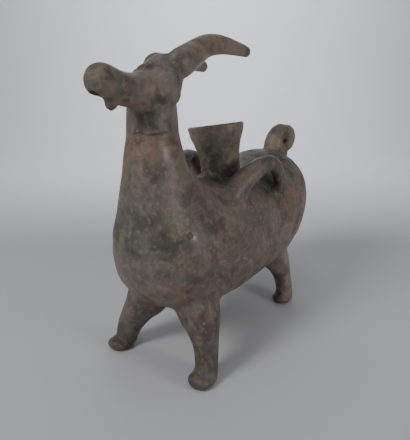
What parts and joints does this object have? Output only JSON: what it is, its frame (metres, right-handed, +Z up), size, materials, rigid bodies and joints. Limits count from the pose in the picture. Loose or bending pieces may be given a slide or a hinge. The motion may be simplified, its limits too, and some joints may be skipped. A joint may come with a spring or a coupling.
{
  "type": "animal-shaped pouring vessel",
  "caption": "Hollow burnished clay pouring vessel shaped like a long-necked horned ibex, with a flared filling funnel and two loops on its back, a curled tail and four short legs.",
  "frame": {"origin": "under the middle of the whole form, in the plane of the soles", "axes": "+Z up; the animal faces -Y and its left side is +X, so Y is its length"},
  "size_m": [0.0982, 0.2502, 0.2308],
  "materials": {
    "clay": "burnished fired clay, mottled brown and grey, soft gloss"
  },
  "bodies": {
    "root": {"ibex_vessel": "clay"}
  },
  "joints": []
}
